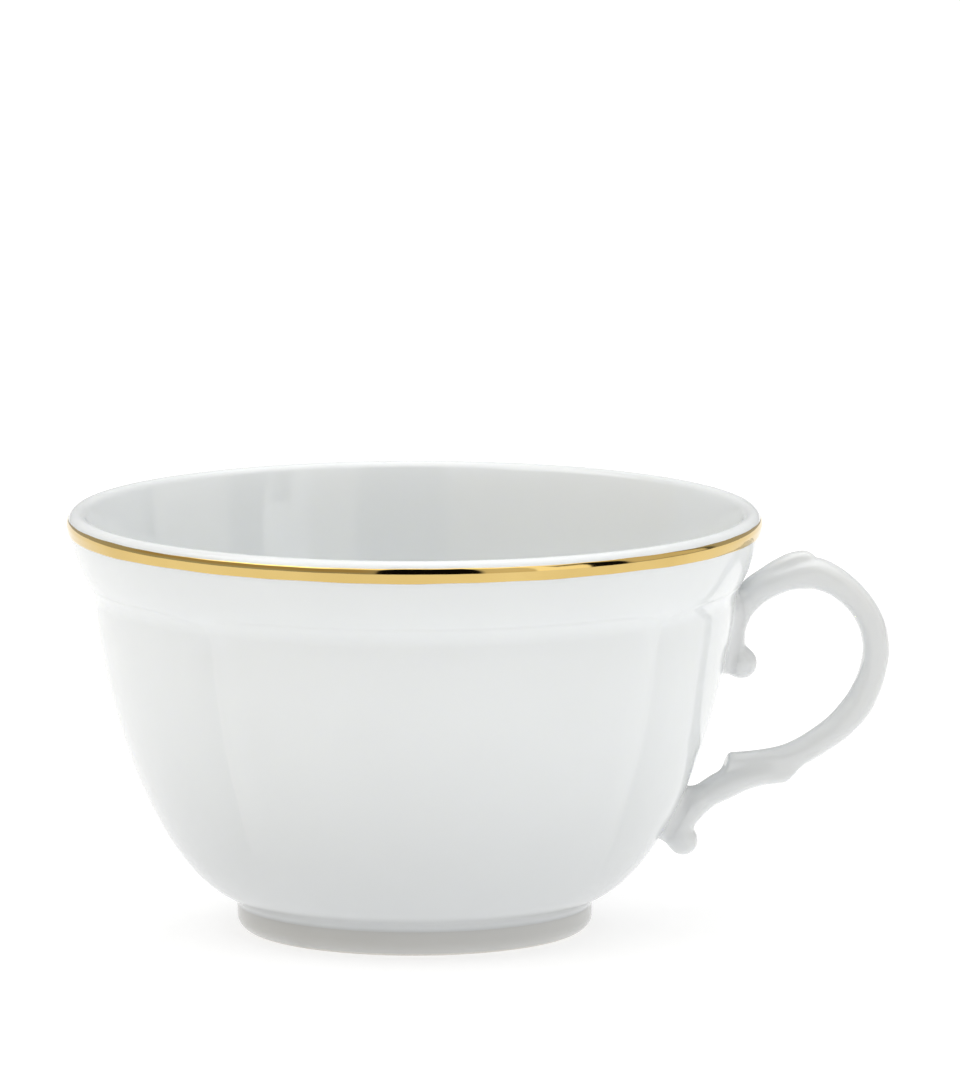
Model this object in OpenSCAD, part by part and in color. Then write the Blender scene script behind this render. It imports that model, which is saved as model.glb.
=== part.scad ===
// A footed teacup with four softly bowed panels, a plain flared collar, a gilt
// rim and a scrolled handle luted to the side.
// Origin: centre of the foot's resting plane. +X points to the handle, +Z up.
// Units: millimetres.

/* [Cup] */
// Outer diameter at the lip
rim_d = 96; // [90:0.5:102]
// Height from the table to the top of the lip
cup_h = 58.4; // [56:0.2:62]
// Outer diameter at the foot of the collar
belly_d = 88.6; // [86:0.2:90]
// Height of the plain flared collar, lip included
collar_h = 11.2; // [9:0.2:13]
// Thickness of the wall
wall_t = 2.6; // [2:0.1:3.2]
// Thickness of the rounded lip
lip_t = 2.8; // [2.2:0.1:3.4]

/* [Panels] */
// Number of bowed panels round the bowl
panels = 4; // [3:1:6]
// Depth of the crease between two panels
crease = 0.7; // [0.3:0.1:1]
// How far the top of a panel stands out from the collar
shoulder = 0.2; // [0.1:0.05:0.5]
// Height at which the creases have faded out
fade_z = 13; // [10:0.5:18]

/* [Foot] */
// Outer diameter of the foot ring
foot_d = 49.2; // [46:0.2:52]
// Height of the foot ring
foot_h = 3.6; // [2.8:0.1:4.4]
// Width of the foot ring where it meets the bowl
foot_w = 4.4; // [3.6:0.1:6]
// Radius of the foot ring's rounded edges
foot_round = 1.2; // [0.6:0.1:1.4]

/* [Gold rim] */
// Height of the gold band
gold_w = 2; // [1.5:0.1:4]
// Depth of white lip left above the gold band
gold_drop = 0.9; // [0.4:0.1:1.2]
// Thickness of the gold film
gold_t = 0.12; // [0.08:0.01:0.2]

/* [Handle] */
// Radius of the round finger loop, to the middle of the handle
loop_r = 10.4; // [9.8:0.1:11]
// Thickness of the handle seen from the side
grip_t = 3.6; // [3:0.1:4.2]
// Depth of the handle, front to back
grip_w = 5; // [4.2:0.1:6]
// Diameter of the scrolls' round ends
scroll_d = 4.2; // [3.8:0.1:4.8]
// Thickness of the slip that joins the handle to the bowl
slip_t = 0.5; // [0.3:0.05:0.8]
// How far the slip spreads past the handle's feet
slip_spread = 0.5; // [0.3:0.05:0.8]

/* [Hidden] */
$fn = 96;

porcelain = [0.93, 0.94, 0.94];
slip_white = [0.88, 0.89, 0.88];
gold = [0.83, 0.65, 0.25];

rim_r = rim_d / 2;
belly_r = belly_d / 2;
foot_r = foot_d / 2;
lip_r = lip_t / 2;
lip_c = [rim_r - lip_r, cup_h - lip_r];  // centre of the lip's round section
collar_z = cup_h - collar_h;             // the panels' top edge
foot_flare = 1.1;                        // the wall starts this far outside the foot ring
wall_z = foot_h + 1.3;                   // and at this height
floor_z = foot_h + wall_t + 0.4;         // the floor is a little thicker than the wall

// Each panel is part of a slimmer bowl, whose axis is moved towards the panel
// by this much, so that two neighbours meet in a crease of the stated depth.
panel_shift = crease / (1 - cos(180 / panels));
core_gap = 0.2;   // the core lies this far below the bottom of a crease
panel_sink = 0.5; // a panel's lower end lies this far inside the core

// The handle's landmarks in the XZ plane
loop_c = [rim_r + 5.9, cup_h - 20.5];
upper_scroll = loop_c + [-8.6, -1.5];
lower_scroll = loop_c + [-16.5, -26.4];
lower_foot = loop_c + [-15.4, -19];
scroll_r = scroll_d / 2;
grip_r = grip_t / 2;
handle_steps = 3;   // rings from one station to the next
handle_sides = 12;  // corners of a ring

// From the upper scroll to the loop, as [x, z, half thickness] from the loop's
// centre. The thickest station is the thumb spur.
upper_arm = [[-9.6, 1.7, 1.6], [-9.7, 4.1, 1.7], [-8.3, 6.6, 1.9], [-6.1, 9.0, 2.0],
             [-3.1, 10.5, 2.3], [-1.3, 11.15, 2.55], [0.4, 11.35, 2.7], [1.6, 10.85, 2.25]];
// From the loop to the lower scroll, past the outer and the inner spur
lower_arm = [[8.05, -7.2, 1.85], [5.45, -10.35, 1.85], [2.6, -12.6, 1.75], [-0.6, -14.6, 1.9],
             [-3.2, -16.0, 2.5], [-5.9, -16.35, 2.4], [-8.8, -16.8, 2.55], [-10.1, -17.9, 1.95],
             [-11.6, -18.8, 1.75], [-13.9, -20.3, 1.85], [-15.9, -22.0, 1.9], [-17.0, -24.3, 1.75]];

// ---- Curves ----

function mix(a, b, t) = a + (b - a) * t;
function ease(t) = let (u = min(max(t, 0), 1)) u * u * (3 - 2 * u);
function heading(a) = [cos(a), sin(a)];
function backwards(list) = [for (i = [len(list) - 1:-1:0]) list[i]];
function pick(list, i) = list[min(max(i, 0), len(list) - 1)];

function bezier(p, t) =
    pow(1 - t, 3) * p[0] + 3 * pow(1 - t, 2) * t * p[1]
    + 3 * (1 - t) * t * t * p[2] + pow(t, 3) * p[3];

// Direction of a bezier at t, turned a quarter to point into the bowl
function inward(p, t) =
    let (d = pow(1 - t, 2) * (p[1] - p[0]) + 2 * (1 - t) * t * (p[2] - p[1]) + t * t * (p[3] - p[2]))
    [-d[1], d[0]] / norm(d);

// A smooth curve through four stations, between the middle two
function through(a, b, c, d, t) =
    b + 0.5 * t * (c - a + t * (2 * a - 5 * b + 4 * c - d + t * (3 * (b - c) + d - a)));

// ---- The bowl's outline, as [radius, height] ----

// Bezier from one corner to another, its handles at fractions of the way
function rising(from, to, a, b) =
    [from, [mix(from[0], to[0], a[0]), mix(from[1], to[1], a[1])],
     [mix(from[0], to[0], b[0]), mix(from[1], to[1], b[1])], to];

wall = rising([foot_r + foot_flare, wall_z], [belly_r, collar_z], [0.49, 0.09], [0.92, 0.55]);
collar = rising([belly_r, collar_z], [rim_r, lip_c[1]], [0.46, 0.22], [0.82, 0.63]);
wall_steps = [for (i = [0:14]) i / 14];
collar_steps = [for (i = [1:6]) i / 6];

outer_points = concat([for (t = wall_steps) bezier(wall, t)], [for (t = collar_steps) bezier(collar, t)]);
outer_lip = [for (a = [15:15:75]) lip_c + lip_r * heading(a)];
inner_lip = [for (a = [165:-15:105]) lip_c + lip_r * heading(a)];

inner_side = concat(
    [for (t = wall_steps) bezier(wall, t) + wall_t * inward(wall, t)],
    [for (t = collar_steps) bezier(collar, t) + mix(wall_t, lip_t, t) * inward(collar, t)]);
inner_points = [for (p = inner_side) if (p[1] > floor_z && p[1] < lip_c[1]) p];

// Depth of the bowl's core under the panels: full at mid height, nothing below
// fade_z, and back to nothing under the collar, which rounds the panels' corners
function core_depth(z) =
    (crease + core_gap) * ease((z - fade_z) / 10) * ease((collar_z + 0.4 - z) / 4);

core_points = [for (p = outer_points) [p[0] - core_depth(p[1]), p[1]]];

// How far a panel stands out from the wall's curve: it rises to the shoulder
// at its top, and sinks into the core below fade_z
function panel_rise(z) = shoulder * ease((z - collar_z) / 14 + 1);
function panel_drop(z) = panel_sink * ease((fade_z + 4 - z) / 8);

// A panel's top edge is a small rounded shoulder
top_edge_r = 0.8;
panel_points = concat(
    [for (p = outer_points) if (p[1] > fade_z - 4 && p[1] < collar_z - 0.5)
        [p[0] - panel_shift + panel_rise(p[1]) - panel_drop(p[1]), p[1]]],
    [for (a = [0:30:90])
        [belly_r - panel_shift + shoulder, collar_z - top_edge_r / 2]
        + top_edge_r * [cos(a) - 1, sin(a)]]);

// ---- Cup ----

module turned(outline) {
    rotate_extrude() polygon(outline);
}

function grown(points, by) = [for (p = points) [p[0] + by, p[1]]];

// The bowl as a solid lump with no hollow, its side moved out by `by`
module bowl_lump(by = 0) {
    turned(concat([[0, foot_h], [foot_r, foot_h]], grown(core_points, by), outer_lip,
                  [[lip_c[0], cup_h], [0, cup_h]]));
    for (i = [0:panels - 1])
        rotate([0, 0, i * 360 / panels]) translate([panel_shift, 0, 0])
            turned(concat([[0, panel_points[0][1]]], grown(panel_points, by),
                          [[0, pick(panel_points, 99)[1]]]));
}

module cup_body() {
    color(porcelain) difference() {
        bowl_lump();
        turned(concat([[0, floor_z]], inner_points, inner_lip,
                      [[lip_c[0], cup_h], [lip_c[0], cup_h + 1], [0, cup_h + 1]]));
    }
}

// A plain ring: upright outside, so that it seats in a saucer's well, with two
// rounded standing edges and an inside that slopes in to the bowl
module foot_ring() {
    outer_edge = [foot_r - foot_round, foot_round];
    inner_edge = [foot_r - foot_w + 2 * foot_round, foot_round];
    color(porcelain) turned(concat(
        [[foot_r, foot_h]],
        [for (a = [0:-15:-90]) outer_edge + foot_round * heading(a)],
        [for (a = [-90:-15:-150]) inner_edge + foot_round * heading(a)],
        [[foot_r - foot_w, foot_h]]));
}

// A film over the outside of the collar and the lip, just below the lip's top.
// Its back lies on the same facets as the bowl.
module gold_rim_band() {
    top = cup_h - gold_drop;
    outside = concat(outer_points, outer_lip);
    radius_at = [for (p = outside) [p[1], p[0]]];
    band = concat([[lookup(top - gold_w, radius_at), top - gold_w]],
                  [for (p = outside) if (p[1] > top - gold_w && p[1] < top) p],
                  [[lookup(top, radius_at), top]]);
    color(gold) turned(concat(band, backwards(grown(band, gold_t))));
}

// ---- Handle ----

// Stations of a scroll's round end, from its tip to its widest place
function scroll_end(centre, towards) =
    [for (a = [72:-24:0]) concat(centre + scroll_r * sin(a) * heading(towards), [scroll_r * cos(a)])];

function from_loop(list) = [for (s = list) concat(loop_c + [s[0], s[1]], [s[2]])];

// The handle's middle line in the XZ plane, as [x, z, half thickness]
stations = concat(
    scroll_end(upper_scroll, -72),
    from_loop(upper_arm),
    [for (a = [70:-20:-30]) concat(loop_c + loop_r * heading(a), [grip_r])],
    from_loop(lower_arm),
    backwards(scroll_end(lower_scroll, -60)));

handle_line = [for (i = [0:len(stations) - 2], t = [0:1 / handle_steps:0.99])
    through(pick(stations, i - 1), stations[i], stations[i + 1], pick(stations, i + 2), t)];

// Outside radius of a panel at a height
panel_radius = [for (p = outer_points) [p[1], p[0] + (p[1] < collar_z ? panel_rise(p[1]) : 0)]];

// A point of the handle, moved out to the slip where it would be in the bowl
function seated(p) =
    let (r = lookup(p[2], panel_radius) + slip_t)
    norm([p[0], p[1]]) < r ? [sqrt(r * r - p[1] * p[1]), p[1], p[2]] : p;

// Squares up a ring's section a little
function soft(v) = sign(v) * pow(abs(v), 0.8);

function ring(i) =
    let (s = handle_line[i],
         d = pick(handle_line, i + 1) - pick(handle_line, i - 1),
         across = [-d[1], d[0]] / norm([d[0], d[1]]),
         depth_r = min(grip_w / 2, 1.2 * s[2] + 0.2))
    [for (k = [0:handle_sides - 1])
        let (a = 360 * k / handle_sides, out = s[2] * soft(cos(a)))
        seated([s[0] + across[0] * out, depth_r * soft(sin(a)), s[1] + across[1] * out])];

module handle() {
    rings = [for (i = [0:len(handle_line) - 1]) ring(i)];
    n = handle_sides;
    last = (len(rings) - 1) * n;
    color(porcelain) polyhedron(
        points = [for (r = rings, p = r) p],
        faces = concat(
            [[for (k = [0:n - 1]) k]],
            [for (i = [0:len(rings) - 2], k = [0:n - 1])
                [i * n + k, (i + 1) * n + k, (i + 1) * n + (k + 1) % n, i * n + (k + 1) % n]],
            [[for (k = [n - 1:-1:0]) last + k]]));
}

// The slip under one foot of the handle, squeezed out a little past it. The
// foot is an arc of radius r from a point in the XZ plane, starting at dir and
// turning by turn, left positive.
module slip(from, dir, r, turn) {
    side = sign(turn);
    centre = from + r * heading(dir + 90 * side);
    t = grip_t + 2 * slip_spread;
    w = grip_w + 2 * slip_spread;
    color(slip_white) difference() {
        intersection() {
            translate([centre[0], 0, centre[1]]) rotate([90, 0, 0]) rotate([0, 0, dir - 90 * side])
                rotate_extrude(angle = turn) translate([r, 0]) {
                    square([t, w - t], center = true);
                    for (end = [-1, 1]) translate([0, end * (w - t) / 2]) circle(d = t);
                }
            bowl_lump(slip_t);
        }
        bowl_lump();
    }
}

module upper_handle_joint() {
    slip(loop_c + loop_r * heading(190), 100, loop_r, -55);
}

module lower_handle_joint() {
    slip(lower_foot, -118, 20, 12);
}

cup_body();
foot_ring();
handle();
upper_handle_joint();
lower_handle_joint();
gold_rim_band();
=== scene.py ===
import math

import bpy
import numpy as np
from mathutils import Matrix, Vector


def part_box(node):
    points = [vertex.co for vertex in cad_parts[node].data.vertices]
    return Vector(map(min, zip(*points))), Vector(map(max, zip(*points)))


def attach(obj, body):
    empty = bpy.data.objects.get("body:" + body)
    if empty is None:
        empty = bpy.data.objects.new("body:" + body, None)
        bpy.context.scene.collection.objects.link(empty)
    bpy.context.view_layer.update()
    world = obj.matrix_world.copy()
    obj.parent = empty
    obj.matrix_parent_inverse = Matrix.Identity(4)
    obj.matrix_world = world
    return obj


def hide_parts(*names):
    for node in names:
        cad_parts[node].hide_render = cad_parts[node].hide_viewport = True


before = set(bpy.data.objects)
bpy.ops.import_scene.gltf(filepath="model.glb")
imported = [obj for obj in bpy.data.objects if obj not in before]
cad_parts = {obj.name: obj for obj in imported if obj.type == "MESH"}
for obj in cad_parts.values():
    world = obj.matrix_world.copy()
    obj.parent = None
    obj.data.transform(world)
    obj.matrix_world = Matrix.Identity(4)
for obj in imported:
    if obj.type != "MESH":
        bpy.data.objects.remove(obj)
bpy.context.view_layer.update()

# All shapes are worked out in millimetres and become metres in new_mesh()
MM = 0.001


def node_box(name):
    low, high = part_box(name)
    return np.array(low) / MM, np.array(high) / MM


_, cup_high = node_box("cup_body")
_, foot_high = node_box("foot_ring")
gold_low, gold_high = node_box("gold_rim_band")
handle_low, handle_high = node_box("handle")

RIM_R = cup_high[1]  # across the cup: the handle lies along x
CUP_H = cup_high[2]
FOOT_R = foot_high[1]
FOOT_H = foot_high[2]

# The bowl, as in the CAD model
BELLY_R = 0.923 * RIM_R
COLLAR_Z = CUP_H - 11.2
LIP_SIZE = np.array([1.4, 1.8])               # half width and height of the lip's oval section
LIP_C = np.array([RIM_R, CUP_H]) - LIP_SIZE
LIP_END = 152                                 # angle at which the lip runs into the inside
WALL_T = 2.6
WALL_START = np.array([FOOT_R + 1.1, FOOT_H + 1.3])
FLOOR_Z = FOOT_H + WALL_T + 0.4               # the inside's lowest point

# The panels' relief
PANELS = 4
HALF_PANEL = math.pi / PANELS
BOW = 0.35                # how far a bowed panel falls away from its middle to its sides
VALLEY = 0.6              # depth of the valley between two panels
VALLEY_W = 4.6            # half the valley's width
VALLEY_FORM = 1.6         # how sharply it cuts in: 1 for straight sides, more for hollow ones
VALLEY_FLOOR = 0.5        # half the width of its rounded floor
LEDGE_Z = COLLAR_Z + 1.7  # height of the panels' top edge
LEDGE_W = 0.45            # how wide the rounding of that edge is
SHOULDER = 0.09           # how far a panel's top stands proud of the collar
CORNER = (10.5, 2.0)      # a top corner's size along the rim and down the side
FADE_LOW, FADE_HIGH = 8.5, 24.0  # the valleys grow over these heights


# ---------------------------------------------------------------- curves

def mix(a, b, t):
    return a + (b - a) * t


def ease(t):
    t = np.clip(t, 0, 1)
    return t * t * (3 - 2 * t)


def bezier(points, t):
    a, b, c, d = (np.asarray(p, float) for p in points)
    t = np.asarray(t, float)[:, None]
    u = 1 - t
    return u ** 3 * a + 3 * u ** 2 * t * b + 3 * u * t * t * c + t ** 3 * d


def rising(start, end, a, b):
    """A bezier between two corners, with its handles at fractions of the way."""
    start, end = np.asarray(start, float), np.asarray(end, float)
    return [start, mix(start, end, np.array(a)), mix(start, end, np.array(b)), end]


def arc(centre, radius, start, stop, count):
    a = np.radians(np.linspace(start, stop, count))
    return np.asarray(centre, float) + np.column_stack([np.cos(a), np.sin(a)]) * radius


def inward(line):
    """Unit normals of a profile line that rises, on the side towards the axis."""
    d = np.gradient(line, axis=0)
    d /= np.linalg.norm(d, axis=1)[:, None]
    return np.column_stack([-d[:, 1], d[:, 0]])


WALL = rising(WALL_START, [BELLY_R, COLLAR_Z], (0.49, 0.09), (0.92, 0.55))
COLLAR = rising([BELLY_R, COLLAR_Z], [RIM_R, LIP_C[1]], (0.46, 0.22), (0.82, 0.63))
fine = np.linspace(0, 1, 400)
side_line = np.vstack([bezier(WALL, fine), bezier(COLLAR, fine)[1:]])
# The turn between wall and collar is rounded, by averaging over this many mm up and down
TURN = 1.1
spread = TURN * np.clip(2 - np.abs(side_line[:, 1] - COLLAR_Z) / 2, 0, 1)
side_line[:, 0] = np.mean([np.interp(side_line[:, 1] + k * spread, side_line[:, 1], side_line[:, 0])
                           for k in np.linspace(-1, 1, 9)], axis=0)


def side_r(z):
    return np.interp(z, side_line[:, 1], side_line[:, 0])


def relief(angle, z):
    """How far the outside stands off the plain profile at an angle round the cup."""
    off_middle = (angle + HALF_PANEL) % (2 * HALF_PANEL) - HALF_PANEL
    off_side = (HALF_PANEL - np.abs(off_middle)) * side_r(z)
    below_top = LEDGE_Z - z
    # A valley with a rounded floor runs down between the panels
    reach = np.hypot(off_side, VALLEY_FLOOR) - VALLEY_FLOOR
    valley = VALLEY * np.clip(1 - reach / VALLEY_W, 0, 1) ** VALLEY_FORM
    bow = BOW * (1 - np.cos(off_middle)) / (1 - math.cos(HALF_PANEL))
    # The panels' top edge: a small rounded shoulder, rounded off at the corners too
    u = np.clip(1 - off_side / CORNER[0], 0, 1)
    v = np.clip(1 - below_top / CORNER[1], -3, 1)
    corner = np.where(v > 0, 1 - np.hypot(u, v), 1 - u) * CORNER[1]
    inside = np.minimum(np.where(u > 0, corner, below_top), below_top)
    # It fades out downwards, and the valleys fade out at both ends
    shoulder = SHOULDER * ease(inside / LEDGE_W) * ease((z - LEDGE_Z + 12) / 10)
    foot_fade = ease((z - FADE_LOW) / (FADE_HIGH - FADE_LOW))
    collar_fade = ease((COLLAR_Z + 2.5 - z) / 6.5)
    return shoulder - (valley + bow) * foot_fade * collar_fade


# ---------------------------------------------------------------- mesh tools

def new_mesh(name, verts, faces, smooth_angle=None):
    mesh = bpy.data.meshes.new(name)
    mesh.from_pydata((np.asarray(verts) * MM).tolist(), [], faces)
    mesh.validate()
    mesh.shade_smooth()
    if smooth_angle:
        mesh.set_sharp_from_angle(angle=math.radians(smooth_angle))
    piece = bpy.data.objects.new(name, mesh)
    bpy.context.collection.objects.link(piece)
    return piece


def lathe(name, profile, angles, offset=None, closed=False, smooth_angle=40):
    """Turns a profile [r, z] round the axis. A profile end at r = 0 becomes a pole.
    offset(angle, z) is added to the radius of the rows that `profile` marks in a third column."""
    n = len(angles)
    cos, sin = np.cos(angles), np.sin(angles)
    verts, rows = [], []
    for row in profile:
        if row[0] < 1e-6:
            rows.append([len(verts)] * n)
            verts.append([0, 0, row[1]])
            continue
        r = np.full(n, row[0])
        if offset is not None and row[2]:
            r = r + offset(angles, np.full(n, row[1]))
        rows.append(list(range(len(verts), len(verts) + n)))
        verts.extend(np.column_stack([r * cos, r * sin, np.full(n, row[1])]).tolist())
    faces = []
    pairs = list(zip(rows, rows[1:])) + ([(rows[-1], rows[0])] if closed else [])
    for low, high in pairs:
        for k in range(n):
            m = (k + 1) % n
            corners = [low[k], low[m], high[m], high[k]]
            faces.append(list(dict.fromkeys(corners)))
    return new_mesh(name, verts, faces, smooth_angle)


def marked(points, mark):
    points = np.asarray(points, float)
    return np.column_stack([points, np.full(len(points), float(mark))])


def panel_angles():
    """Angles round the cup, closer together at the creases between the panels."""
    half = np.concatenate([np.arange(0, 28, 1.6), np.arange(28, 40, 0.9), np.arange(40, 45, 0.28)])
    quarter = np.concatenate([-half[:0:-1], half, [45.0]]) / 45 * math.degrees(HALF_PANEL)
    turns = [quarter + 2 * math.degrees(HALF_PANEL) * k for k in range(PANELS)]
    return np.radians(np.concatenate(turns))


# ---------------------------------------------------------------- pieces

def make_bowl():
    # Underneath, a fillet leads from the foot's outside into the wall
    fillet_end = side_line[14]
    fillet_start = np.array([FOOT_R, FOOT_H])
    corner = np.array([FOOT_R, FOOT_H + 0.75])
    t = np.linspace(0, 1, 12)[:, None]
    fillet = (1 - t) ** 2 * fillet_start + 2 * (1 - t) * t * corner + t * t * fillet_end
    # The rows up the outside lie closer together where the surface turns. Each range stops short
    # of the next one's start, so that no row is there twice
    levels = np.concatenate([
        np.arange(fillet_end[1] + 0.3, 14, 0.5), np.arange(14, COLLAR_Z - 4.2, 0.9),
        np.arange(COLLAR_Z - 4.2, COLLAR_Z - 1, 0.25), np.arange(COLLAR_Z - 1, LEDGE_Z + 0.15, 0.1),
        np.arange(LEDGE_Z + 0.2, LIP_C[1], 0.35)])
    side = np.column_stack([side_r(levels), levels])
    # Inside, one smooth curve runs from the lip past the collar to the wall's own curve
    lip = arc(LIP_C, LIP_SIZE, 0, LIP_END, 23)
    wall_in = bezier(WALL, np.linspace(1, 0, 50))
    wall_in = wall_in - inward(wall_in) * WALL_T
    wall_in = wall_in[wall_in[:, 1] < COLLAR_Z - 12]
    down = wall_in[1] - wall_in[0]
    lip_way = lip[-1] - lip[-2]
    reach = 7
    collar_in = bezier([lip[-1], lip[-1] + reach * lip_way / np.linalg.norm(lip_way),
                        wall_in[0] - reach * down / np.linalg.norm(down), wall_in[0]],
                       np.linspace(0, 1, 28)[1:])
    inner = np.vstack([collar_in, wall_in[1:]])
    # and on into a rounded floor, level in the middle
    inner = inner[inner[:, 1] > FLOOR_Z + 4.5]
    down = inner[-1] - inner[-2]
    floor = bezier([inner[-1], inner[-1] + 8 * down / np.linalg.norm(down),
                    [18, FLOOR_Z], [0, FLOOR_Z]], np.linspace(0, 1, 20)[1:])
    recess = np.column_stack([np.linspace(0, FOOT_R, 12),
                              FOOT_H + 0.5 * ease(1 - np.linspace(0, 1.2, 12))])
    profile = np.vstack([marked(recess[:-1], 0), marked(fillet, 0), marked(side, 1),
                         marked(lip, 0), marked(inner, 0), marked(floor, 0)])
    return lathe("bowl", profile, panel_angles(), offset=relief)


def make_foot():
    round_r, inner_r = 2.1, 1.0
    width, land = 4.4, 0.4
    outer = arc([FOOT_R - round_r, round_r], round_r, 0, -90, 12)
    inner = arc([FOOT_R - round_r - land, inner_r], inner_r, -90, -155, 8)
    profile = np.vstack([[[FOOT_R, FOOT_H], [FOOT_R, mix(round_r, FOOT_H, 0.5)]], outer, inner,
                         [[FOOT_R - width + 0.1, FOOT_H - 0.3], [FOOT_R - width, FOOT_H]]])
    return lathe("foot", marked(profile, 0)[::-1], np.radians(np.arange(0, 360, 0.75)), closed=True)


def make_gold():
    angles = np.radians(np.arange(0, 360, 0.5))
    outside = np.vstack([side_line, arc(LIP_C, LIP_SIZE, 0, 80, 40)[1:]])
    normals = -inward(outside)
    rows = 18
    film, buried, clear = 0.05, 0.05, 0.004   # out of the glaze, into it, and the least gap over it
    low, high = gold_low[2], gold_high[2]
    # A brushed band's edges wander by a few hundredths of a millimetre
    low = low + sum(size * np.sin(waves * angles + start)
                    for size, waves, start in ((0.05, 5, 0.7), (0.03, 13, 2.1), (0.02, 31, 0)))
    high = high + sum(size * np.sin(waves * angles + start)
                      for size, waves, start in ((0.03, 4, 1.9), (0.025, 11, 0), (0.015, 37, 1)))

    def place(z, out):
        r = np.interp(z, outside[:, 1], outside[:, 0])
        nr = np.interp(z, outside[:, 1], normals[:, 0])
        nz = np.interp(z, outside[:, 1], normals[:, 1])
        r, z = r + out * nr, z + out * nz
        return np.column_stack([r * np.cos(angles), r * np.sin(angles), z])

    rings = []
    for i in range(rows + 1):
        t = i / rows
        edge = min(1, 5 * min(t, 1 - t))
        rings.append(place(mix(low, high, t), film * math.sqrt(1 - (1 - edge) ** 2) + clear))
    for i in range(rows, -1, -1):
        rings.append(place(mix(low, high, i / rows), -buried))
    n = len(angles)
    faces = []
    count = len(rings)
    for j in range(count):
        a, b = j * n, (j + 1) % count * n
        faces.extend([a + k, a + (k + 1) % n, b + (k + 1) % n, b + k] for k in range(n))
    return new_mesh("gold_band", np.vstack(rings), faces, 60)


# ---------------------------------------------------------------- handle

# The loop's middle, and the clay strands round it in the handle's plane: [x, z, half thickness]
LOOP = np.array([RIM_R + 5.9, CUP_H - 20.5])
LOOP_R = 10.4
MAIN_STRAND = (
    [[-9.0, -1.3, 1.7], [-9.35, 0.5, 1.5], [-9.45, 2.3, 1.45], [-9.2, 4.3, 1.6], [-8.2, 6.5, 1.8],
     [-6.1, 8.6, 1.9], [-3.1, 9.95, 1.78], [-1.5, 10.45, 1.9], [0.1, 10.75, 2.1], [2.3, 10.7, 2.15],
     [5.2, 9.27, 1.95]]
    + [[LOOP_R * math.cos(math.radians(a)), LOOP_R * math.sin(math.radians(a)), 1.82]
       for a in (40, 20, 0, -20)]
    + [[8.5, -6.65, 1.92], [7.1, -8.75, 1.97], [5.0, -10.9, 1.87], [2.4, -12.75, 1.78],
       [-0.1, -14.2, 1.75], [-2.4, -14.95, 1.6], [-4.9, -15.25, 1.42], [-7.4, -15.4, 1.3],
       [-9.6, -15.5, 1.28], [-11.6, -15.6, 1.28]])
THUMB_STRAND = [[-8.3, 7.4, 1.2], [-6.9, 9.2, 1.15], [-4.45, 11.13, 1.0], [-3.2, 11.9, 0.97],
                [-1.53, 12.7, 0.95], [0.03, 13.1, 0.85], [1.0, 13.1, 0.75]]
LOWER_STRAND = [[-0.4, -15.9, 1.35], [-2.7, -16.95, 1.5], [-5.4, -17.15, 1.62], [-7.9, -17.6, 1.8],
                [-10.5, -18.6, 1.95], [-12.95, -19.9, 1.82], [-15.0, -21.6, 1.75], [-16.5, -23.6, 1.65],
                [-16.9, -25.3, 1.5]]
# Clay pressed against the bowl between the strands and the wall
UPPER_PAD = [[-10.6, -0.6, 1.9], [-10.5, 2.0, 1.9], [-10.0, 5.0, 1.9], [-9.2, 6.9, 1.85]]
LOWER_PAD = [[-15.2, -20.8, 1.7], [-17.2, -23.4, 1.8], [-18.2, -25.2, 1.6]]
UPPER_SCROLL = np.array([-8.4, -1.6])
LOWER_SCROLL = np.array([-16.5, -26.4])
SCROLL_R = 2.05
# The strands' square ends: a point of the cutting plane and the way it faces
INNER_SPUR = (-10.35, -15.0), (-0.93, 0.36)
OUTER_SPUR = (-1.65, -17.9), (0.8, -0.6)
THUMB_END = (1.3, 13.6), (0.57, 0.82)
HALF_DEPTH = 2.5   # half the handle's depth, front to back
THUMB_DEPTH = 1.6
PAD_DEPTH = 2.3

GRID = 0.22        # spacing of the grid that the handle's surface is taken from
SINK = 0.5         # how deep the handle goes into the bowl's wall
SLIP_BLEND = 2.0   # size of the slip smoothed round the handle's feet


def spline(stations, step):
    """A Catmull-Rom line through the stations."""
    s = np.asarray(stations, float)
    s = np.vstack([2 * s[0] - s[1], s, 2 * s[-1] - s[-2]])
    out = []
    for a, b, c, d in zip(s, s[1:], s[2:], s[3:]):
        count = max(2, int(round(np.linalg.norm((c - b)[:2]) / step)))
        for t in np.arange(count) / count:
            bend = 2 * a - 5 * b + 4 * c - d + t * (3 * (b - c) + d - a)
            out.append(b + 0.5 * t * (c - a + t * bend))
    return np.array(out + [s[-2]])


def blend(a, b, size):
    """The smaller of two distances, with a rounded valley where they meet."""
    h = np.clip(size - np.abs(a - b), 0, None) / size
    return np.minimum(a, b) - h * h * size / 4


def cut(a, b, size):
    """The larger of two distances, with a rounded edge where they meet."""
    return -blend(-a, -b, size)


def near_line(x, z, line):
    """Distance in the plane to a line, and the half thickness at the nearest place on it."""
    best = np.full(x.shape, 1e9)
    half = np.zeros(x.shape)
    for (x0, z0, h0), (x1, z1, h1) in zip(line, line[1:]):
        dx, dz = x1 - x0, z1 - z0
        t = np.clip(((x - x0) * dx + (z - z0) * dz) / (dx * dx + dz * dz), 0, 1)
        d = np.hypot(x - x0 - t * dx, z - z0 - t * dz)
        closer = d < best
        best = np.where(closer, d, best)
        half = np.where(closer, h0 + t * (h1 - h0), half)
    return best, half


def strand(x, y, z, stations, depth, square=2.5):
    """Distance from a strand whose section is a soft oval, `depth` deep to each side."""
    flat_x, flat_z = x[:, 0, :], z[:, 0, :]
    d, half = near_line(flat_x, flat_z, spline(stations, 0.4))
    d, half = d[:, None, :], half[:, None, :]
    deep = np.minimum(depth, 1.3 * half + 0.35)
    return (d ** square + np.abs(y * half / deep) ** square) ** (1 / square) - half


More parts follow.
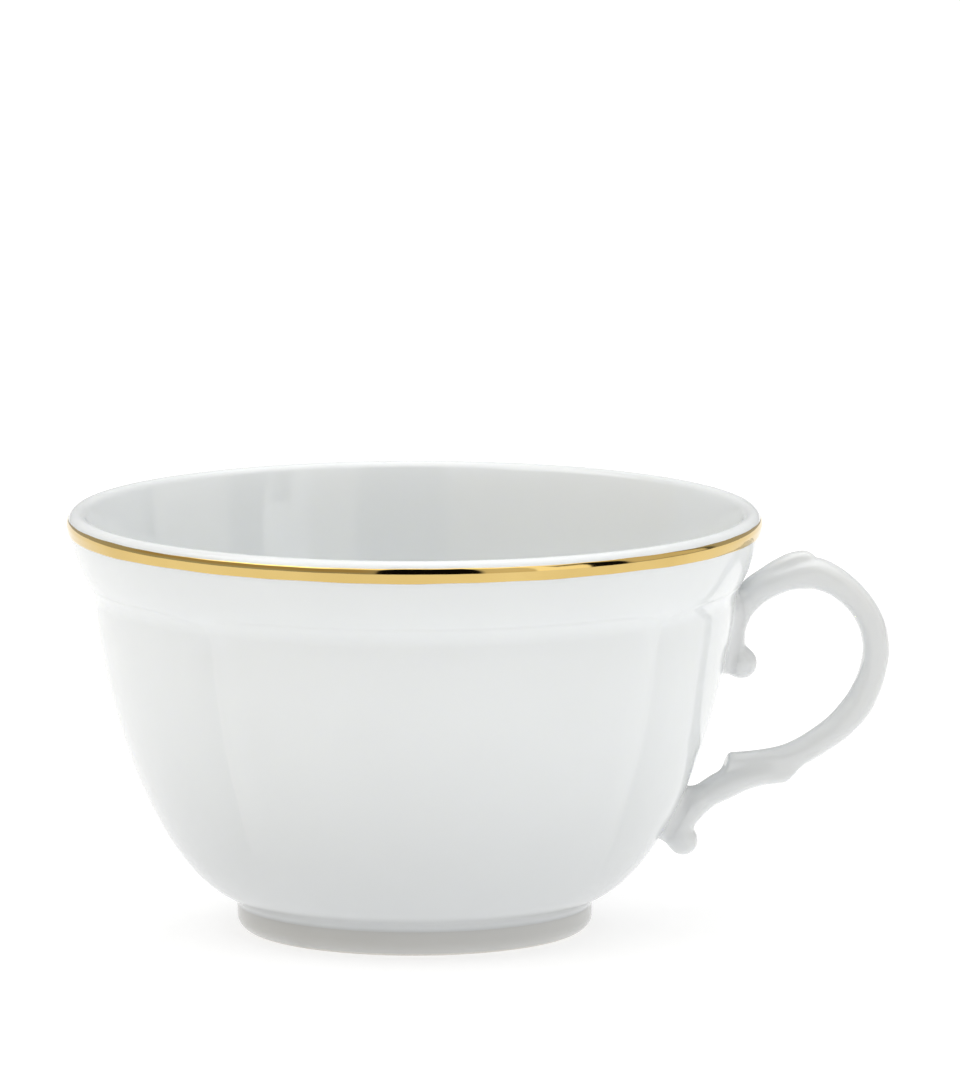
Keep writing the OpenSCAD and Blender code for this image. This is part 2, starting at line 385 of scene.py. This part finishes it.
def ball(x, y, z, centre, radius, depth):
    return np.sqrt((x - centre[0]) ** 2 + (y * radius / depth) ** 2 + (z - centre[1]) ** 2) - radius


def beyond(x, z, point, direction):
    """Distance past a plane square to a direction in the handle's plane."""
    dx, dz = np.array(direction) / np.hypot(*direction)
    return (x - point[0]) * dx + (z - point[1]) * dz


def handle_field(x, y, z):
    """Signed distance from the handle, in the loop's own axes. The strands overlap like leaves."""
    main = strand(x, y, z, MAIN_STRAND, HALF_DEPTH)
    main = cut(main, np.where(z < -8, beyond(x, z, *INNER_SPUR), -9), 0.5)
    thumb = strand(x, y, z, THUMB_STRAND, THUMB_DEPTH)
    thumb = cut(thumb, beyond(x, z, *THUMB_END), 0.3)
    lower = strand(x, y, z, LOWER_STRAND, HALF_DEPTH)
    lower = cut(lower, beyond(x, z, *OUTER_SPUR), 0.4)
    pads = np.minimum(strand(x, y, z, UPPER_PAD, PAD_DEPTH), strand(x, y, z, LOWER_PAD, PAD_DEPTH))
    scrolls = np.minimum(ball(x, y, z, UPPER_SCROLL, SCROLL_R + 0.1, 2.5),
                         ball(x, y, z, LOWER_SCROLL, SCROLL_R, 2.4))
    whole = blend(main, thumb, 0.6)
    whole = blend(whole, lower, 0.7)
    whole = blend(whole, pads, 1.0)
    return blend(whole, scrolls, 0.9)


def bowl_field(x, y, z):
    """Signed distance from the bowl's outside."""
    r, angle = np.hypot(x, y), np.arctan2(y, x)
    n = -inward(side_line)
    lean = np.interp(z, side_line[:, 1], n[:, 0])
    return (r - side_r(z) - relief(angle, z)) * lean


def surface(name, field, low, high):
    """The surface where a field is zero: one point in each grid cell that it passes through, and a
    face round each grid edge that it cuts."""
    axes = [np.arange(a, b + GRID, GRID) for a, b in zip(low, high)]
    x, y, z = np.meshgrid(*axes, indexing="ij")
    values = field(x, y, z)
    solid = values < 0
    shape = np.array(values.shape) - 1
    total, count = np.zeros((*shape, 3)), np.zeros(shape)
    index = np.stack(np.meshgrid(*[np.arange(n) for n in shape], indexing="ij"), -1).astype(float)
    for axis in range(3):
        others = [k for k in range(3) if k != axis]
        for i in (0, 1):
            for j in (0, 1):
                start = [slice(0, n) for n in shape]
                start[others[0]] = slice(i, i + shape[others[0]])
                start[others[1]] = slice(j, j + shape[others[1]])
                stop = list(start)
                stop[axis] = slice(1, 1 + shape[axis])
                a, b = values[tuple(start)], values[tuple(stop)]
                crossed = (a < 0) != (b < 0)
                t = np.where(crossed, a / np.where(crossed, a - b, 1), 0)
                place = index.copy()
                place[..., others[0]] += i
                place[..., others[1]] += j
                place[..., axis] += t
                total += place * crossed[..., None]
                count += crossed
    used = count > 0
    verts = np.array([a[0] for a in axes]) + total[used] / count[used][:, None] * GRID
    number = np.full(shape, -1)
    number[used] = np.arange(used.sum())
    faces = []
    for axis in range(3):
        p, q = [(1, 2), (2, 0), (0, 1)][axis]
        here = [slice(1, n) for n in shape]
        here[axis] = slice(0, shape[axis])
        there = list(here)
        there[axis] = slice(1, 1 + shape[axis])
        a, b = solid[tuple(here)], solid[tuple(there)]
        cells = np.argwhere(a != b)
        out = a[tuple(cells.T)]
        cells = cells + 1
        cells[:, axis] -= 1
        ring = []
        for dp, dq in ((-1, -1), (0, -1), (0, 0), (-1, 0)):
            c = cells.copy()
            c[:, p] += dp
            c[:, q] += dq
            ring.append(number[tuple(c.T)])
        ring = np.stack(ring, 1)
        ring[~out] = ring[~out, ::-1]
        faces.extend(ring.tolist())
    # Two steps towards the exact surface
    for _ in range(2):
        step = 0.02
        value = at(field, verts)
        slope = np.stack([(at(field, verts + d) - at(field, verts - d)) / (2 * step)
                          for d in np.eye(3) * step], 1)
        size = np.maximum((slope ** 2).sum(1), 0.1)
        move = -slope * (value / size)[:, None]
        verts = verts + np.clip(move, -0.6 * GRID, 0.6 * GRID)
    return new_mesh(name, verts, faces)


def at(field, points):
    """A field's values at single points, given as arrays one cell deep."""
    x, y, z = (points[:, k][:, None, None] for k in range(3))
    return field(x, y, z)[:, 0, 0]


def clay(x, y, z):
    """The handle, sunk a little way into the bowl's wall."""
    return cut(handle_field(x - LOOP[0], y, z - LOOP[1]), -SINK - bowl_field(x, y, z), 0.1)


def slip(x, y, z):
    """The rounded valley between handle and bowl, as a thin skin that ends a hair under both."""
    own = handle_field(x - LOOP[0], y, z - LOOP[1])
    bowl = bowl_field(x, y, z)
    # There is less of it under the collar
    size = SLIP_BLEND * (1 - 0.65 * ease((z - COLLAR_Z + 4) / 4))
    skin = np.maximum(-0.3 - bowl, -0.4 - own)
    return np.maximum(np.maximum(blend(own, bowl, size) + 0.012, skin), np.maximum(own, bowl) - size)


def make_handle():
    return surface("scroll_handle", clay, handle_low - 1.2, handle_high + 1.2)


def make_slip(name, node):
    low, high = node_box(node)
    return surface(name, slip, low - 4, high + 4)


# ---------------------------------------------------------------- materials

BODY_TINT = (0.952, 0.982, 1.0)
# Painted shade: the handle is a darker, greyer copy of the body's white
HANDLE_SHADE_TINT = (0.862, 0.88, 0.89)
# Painted shade: the foot's glaze is made a darker grey than the body's white
FOOT_SHADE_TINT = (0.69, 0.694, 0.685)
LOW_SHADE_TONE = 0.78   # painted shade: how dark the bowl's base is made, against the rest
LOW_SHADE_TOP = 40      # height up to which the painted shade reaches
BARE_TOP = 0.35    # height up to which the foot's standing edge is bare


def material(name):
    mat = bpy.data.materials.new(name)
    mat.use_nodes = True
    nodes, links = mat.node_tree.nodes, mat.node_tree.links
    shader = nodes["Principled BSDF"]
    return mat, nodes, links, shader


def noise(nodes, links, vector, scale, detail=3.0, roughness=0.5):
    n = nodes.new("ShaderNodeTexNoise")
    n.inputs["Scale"].default_value = scale
    n.inputs["Detail"].default_value = detail
    n.inputs["Roughness"].default_value = roughness
    links.new(vector, n.inputs["Vector"])
    return n.outputs["Fac"]


def ramp(nodes, links, fac, stops):
    r = nodes.new("ShaderNodeValToRGB")
    els = r.color_ramp.elements
    while len(els) < len(stops):
        els.new(0.5)
    for e, (pos, colour) in zip(els, stops):
        e.position = pos
        e.color = (*colour, 1)
    links.new(fac, r.inputs["Fac"])
    return r.outputs["Color"]


def bump(nodes, links, height, strength, distance, normal=None):
    b = nodes.new("ShaderNodeBump")
    b.inputs["Strength"].default_value = strength
    b.inputs["Distance"].default_value = distance
    links.new(height, b.inputs["Height"])
    if normal is not None:
        links.new(normal, b.inputs["Normal"])
    return b.outputs["Normal"]


def window(nodes, links, value, low, high, smooth=False):
    """0 where a value is below one length (mm) and 1 where it is above another."""
    limits = nodes.new("ShaderNodeMapRange")
    limits.interpolation_type = "SMOOTHSTEP" if smooth else "LINEAR"
    limits.inputs["From Min"].default_value = low * MM
    limits.inputs["From Max"].default_value = high * MM
    links.new(value, limits.inputs["Value"])
    return limits.outputs["Result"]


def mixed(nodes, links, fac, a, b):
    """A mix of two colours, of which the first may be a constant."""
    mixer = nodes.new("ShaderNodeMix")
    mixer.data_type = "RGBA"
    links.new(fac, mixer.inputs["Factor"])
    if isinstance(a, tuple):
        mixer.inputs["A"].default_value = (*a, 1)
    else:
        links.new(a, mixer.inputs["A"])
    links.new(b, mixer.inputs["B"])
    return mixer.outputs["Result"]


def glaze(name, tint, shade_below=None, bare_below=None, side_tint=None):
    """White porcelain under a clear gloss glaze, with a faint uneven tone, a long wave and fine
    orange peel in the surface. Where asked for, painted shade greys it towards the foot, the
    standing edge is bare, and the tint changes away from the handle's middle plane."""
    mat, nodes, links, shader = material(name)
    place = nodes.new("ShaderNodeTexCoord").outputs["Object"]
    split = nodes.new("ShaderNodeSeparateXYZ")
    links.new(place, split.inputs["Vector"])
    tone = noise(nodes, links, place, 38, 3)

    def white(shade):
        return ramp(nodes, links, tone, [(0.3, tuple(0.865 * c for c in shade)),
                                         (0.7, tuple(0.885 * c for c in shade))])

    def low_shaded(shade):
        # Painted shade: darker towards the bottom, fading out by the given height
        deep = white([LOW_SHADE_TONE * c for c in shade])
        height = window(nodes, links, split.outputs["Z"], 0, shade_below, True)
        return mixed(nodes, links, height, deep, white(shade))

    colour = low_shaded(tint) if shade_below and side_tint is None else white(tint)
    # Painted shade: the slip keeps the handle's darker tint near the handle's middle plane and takes
    # the body's tint away from it
    if side_tint is not None:
        away = nodes.new("ShaderNodeMath")
        away.operation = "ABSOLUTE"
        links.new(split.outputs["Y"], away.inputs[0])
        aside = window(nodes, links, away.outputs[0],
                       HALF_DEPTH - 0.1, HALF_DEPTH + SLIP_BLEND - 0.3, True)
        colour = mixed(nodes, links, aside, colour, low_shaded(side_tint))
    gloss = ramp(nodes, links, noise(nodes, links, place, 90, 4),
                 [(0.3, (0.045,) * 3), (0.75, (0.085,) * 3)])
    wave = bump(nodes, links, noise(nodes, links, place, 55, 1), 0.35, 0.0004)
    peel = bump(nodes, links, noise(nodes, links, place, 900, 2), 0.05, 0.0001, wave)
    if bare_below is not None:
        edge = window(nodes, links, split.outputs["Z"], bare_below, bare_below * 1.5)
        grit = ramp(nodes, links, noise(nodes, links, place, 2600, 4),
                    [(0.3, (0.62, 0.6, 0.56)), (0.7, (0.72, 0.7, 0.66))])
        colour = mixed(nodes, links, edge, grit, colour)
        gloss = mixed(nodes, links, edge, (0.7, 0.7, 0.7), gloss)
    links.new(colour, shader.inputs["Base Color"])
    links.new(gloss, shader.inputs["Roughness"])
    links.new(peel, shader.inputs["Normal"])
    shader.inputs["IOR"].default_value = 1.52
    shader.inputs["Subsurface Weight"].default_value = 0.25
    shader.inputs["Subsurface Radius"].default_value = (0.9, 0.9, 0.8)
    shader.inputs["Subsurface Scale"].default_value = 0.002
    return mat


def gold_leaf(name):
    """Bright fired gold, brushed on: fine streaks round the rim, with a faint uneven colour and gloss.
    """
    mat, nodes, links, shader = material(name)
    place = nodes.new("ShaderNodeTexCoord").outputs["Object"]
    streak_space = nodes.new("ShaderNodeMapping")
    streak_space.inputs["Scale"].default_value = (0.12, 0.12, 3.0)
    links.new(place, streak_space.inputs["Vector"])
    streaks = noise(nodes, links, streak_space.outputs["Vector"], 900, 3)
    colour = ramp(nodes, links, noise(nodes, links, place, 60, 3),
                  [(0.3, (0.63, 0.45, 0.16)), (0.7, (0.71, 0.52, 0.2))])
    gloss = ramp(nodes, links, noise(nodes, links, place, 150, 3),
                 [(0.3, (0.045,) * 3), (0.7, (0.09,) * 3)])
    links.new(colour, shader.inputs["Base Color"])
    links.new(gloss, shader.inputs["Roughness"])
    wave = bump(nodes, links, noise(nodes, links, place, 120, 2), 0.25, 0.0002)
    links.new(bump(nodes, links, streaks, 0.08, 0.00004, wave), shader.inputs["Normal"])
    shader.inputs["Metallic"].default_value = 1.0
    return mat


# ---------------------------------------------------------------- build

bowl = make_bowl()
foot = make_foot()
gold = make_gold()
handle = make_handle()
upper_slip = make_slip("upper_slip_fillet", "upper_handle_joint")
lower_slip = make_slip("lower_slip_fillet", "lower_handle_joint")

# The bowl is painted with shade towards its base
porcelain = glaze("porcelain_glaze", BODY_TINT, shade_below=LOW_SHADE_TOP)
# The foot's darker tint is painted shade
foot_glaze = glaze("foot_glaze", FOOT_SHADE_TINT, bare_below=BARE_TOP)
# The handle's darker tint is painted shade
handle_glaze = glaze("handle_glaze", HANDLE_SHADE_TINT)
slip_glaze = glaze("slip_glaze", HANDLE_SHADE_TINT, shade_below=LOW_SHADE_TOP, side_tint=BODY_TINT)
gilt = gold_leaf("fired_gold")

for piece, mat, slot, node in [
        (bowl, porcelain, "porcelain", "cup_body"),
        (foot, foot_glaze, "foot_porcelain", "foot_ring"),
        (gold, gilt, "gold", "gold_rim_band"),
        (handle, handle_glaze, "handle_porcelain", "handle"),
        (upper_slip, slip_glaze, "luting_slip", "upper_handle_joint"),
        (lower_slip, slip_glaze, "luting_slip", "lower_handle_joint")]:
    piece.data.materials.clear()
    piece.data.materials.append(mat)
    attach(piece, "root")
    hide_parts(node)

# ---------------------------------------------------------------- studio

AZIMUTH, ELEVATION = math.radians(-5.5), math.radians(8.7)
DISTANCE = 1.8
AIM_SIDE, AIM_HEIGHT = 0.00905, 0.0534   # what the camera points at, from the cup's axis and the floor
FLOOR_TONE = (0.42, 0.44)
FLOOR_GLOW = 0.66
back = Vector((math.sin(AZIMUTH) * math.cos(ELEVATION),
               -math.cos(AZIMUTH) * math.cos(ELEVATION), math.sin(ELEVATION)))
right = Vector((math.cos(AZIMUTH), math.sin(AZIMUTH), 0))
aim = right * AIM_SIDE + Vector((0, 0, AIM_HEIGHT))

camera_data = bpy.data.cameras.new("camera")
camera_data.sensor_fit = "VERTICAL"
camera_data.sensor_height = 36
camera_data.lens = 430
camera = bpy.data.objects.new("camera", camera_data)
camera.location = aim + back * DISTANCE
camera.rotation_euler = back.to_track_quat("Z", "Y").to_euler()
bpy.context.collection.objects.link(camera)
bpy.context.scene.camera = camera
bpy.context.scene.view_settings.view_transform = "Standard"

floor_mesh = bpy.data.meshes.new("floor")
floor_mesh.from_pydata([(-4, -4, 0), (4, -4, 0), (4, 4, 0), (-4, 4, 0)], [], [(0, 1, 2, 3)])
floor = bpy.data.objects.new("floor", floor_mesh)
bpy.context.collection.objects.link(floor)
floor_mat, nodes, links, shader = material("paper_floor")
place = nodes.new("ShaderNodeTexCoord").outputs["Object"]
links.new(ramp(nodes, links, noise(nodes, links, place, 300, 3),
               [(0.3, (FLOOR_TONE[0],) * 3), (0.7, (FLOOR_TONE[1],) * 3)]),
          shader.inputs["Base Color"])
shader.inputs["Roughness"].default_value = 0.9
shader.inputs["Emission Color"].default_value = (1, 1, 1, 1)
shader.inputs["Emission Strength"].default_value = FLOOR_GLOW
shader.inputs["Specular IOR Level"].default_value = 0.0
floor_mesh.materials.append(floor_mat)


class Nodes:
    """Short ways to add value nodes to a node tree."""

    def __init__(self, tree):
        self.nodes, self.links = tree.nodes, tree.links

    def math(self, operation, *values):
        n = self.nodes.new("ShaderNodeMath")
        n.operation = operation
        for socket, value in zip(n.inputs, values):
            if isinstance(value, (int, float)):
                socket.default_value = value
            else:
                self.links.new(value, socket)
        return n.outputs[0]

    def step(self, value, place, soft):
        n = self.nodes.new("ShaderNodeMapRange")
        n.interpolation_type = "SMOOTHSTEP"
        n.inputs["From Min"].default_value = place - soft
        n.inputs["From Max"].default_value = place + soft
        self.links.new(value, n.inputs["Value"])
        return n.outputs["Result"]

    def window(self, value, low, high, soft):
        return self.math("SUBTRACT", self.step(value, low, soft), self.step(value, high, soft))


# What stands round the cup, seen from it. Turned from the camera's side, positive to the right:
# [turned from, to, height from, to (degrees), softness, strength, tint]
FITTINGS = [
    (-112, -14, 9, 39, 5, 0.46, (1, 0.82, 0.52)),    # a dimmer wall at the left
    (-165, -40, -12, 9, 6, 0.5, (0.92, 0.97, 1.0)),  # a low reflector in front of it
    (-112, -38, 43, 63, 8, 2.6, (1, 1, 1)),          # a window high above it, which lights the inside
    (-175, -112, 0, 60, 5, 0.5, (1, 1, 1)),          # back panel, at the left
    (-12.5, 22, -4, 57, 0.6, 0.004, (1, 0.9, 0.8)),  # the camera's black screen
    (23, 41, -4, 44, 0.8, 0.85, (1, 0.95, 0.84)),    # a pale card beside it
    (41, 60, -6, 44, 0.8, 1.4, (1, 0.99, 0.97)),     # right softbox
    (60, 75, -4, 46, 0.6, 0.004, (1, 0.9, 0.8)),     # its black edge
    (50, 58, 24, 40, 0.8, 0.2, (1, 0.95, 0.9)),      # and its stand
    (76, 112, 2, 45, 1.5, 0.8, (1, 0.95, 0.84)),     # a pale card beyond it
    (113, 118, -10, 60, 0.8, 0.12, (1, 1, 1)),       # the edge of the back panel
    (118, 176, -10, 45, 3, 0.5, (1, 1, 1)),          # back panel, at the right
]


# The room's light from straight down (0) past level (0.5) to straight up (1)
SKY = [(0.0, 0.45), (0.5, 0.42), (0.7, 0.54), (0.83, 1.85), (1.0, 2.75)]


def studio_world():
    """A white room with a broad light overhead and the fittings above round the cup."""
    world = bpy.data.worlds.new("studio")
    world.use_nodes = True
    bpy.context.scene.world = world
    nodes, links = world.node_tree.nodes, world.node_tree.links
    n = Nodes(world.node_tree)
    way = nodes.new("ShaderNodeSeparateXYZ")
    links.new(nodes.new("ShaderNodeTexCoord").outputs["Generated"], way.inputs["Vector"])
    x, y, z = way.outputs
    turn = math.degrees(1)
    front = n.math("ADD", n.math("MULTIPLY", x, math.sin(AZIMUTH)),
                   n.math("MULTIPLY", y, -math.cos(AZIMUTH)))
    side = n.math("ADD", n.math("MULTIPLY", x, math.cos(AZIMUTH)),
                  n.math("MULTIPLY", y, math.sin(AZIMUTH)))
    azimuth = n.math("MULTIPLY", n.math("ARCTAN2", side, front), turn)
    height = n.math("MULTIPLY", n.math("ARCSINE", z), turn)
    colour = ramp(nodes, links, n.math("MULTIPLY_ADD", height, 1 / 180, 0.5),
                  [(place, (light,) * 3) for place, light in SKY])
    for left, right_end, low, high, soft, strength, tint in FITTINGS:
        mask = n.math("MULTIPLY", n.window(azimuth, left, right_end, soft),
                      n.window(height, low, high, min(soft, 9)))
        mixer = nodes.new("ShaderNodeMix")
        mixer.data_type = "RGBA"
        mixer.inputs["B"].default_value = (*(strength * c for c in tint), 1)
        links.new(mask, mixer.inputs["Factor"])
        links.new(colour, mixer.inputs["A"])
        colour = mixer.outputs["Result"]
    shade = nodes["Background"]
    links.new(colour, shade.inputs["Color"])
    shade.inputs["Strength"].default_value = 1.0


studio_world()
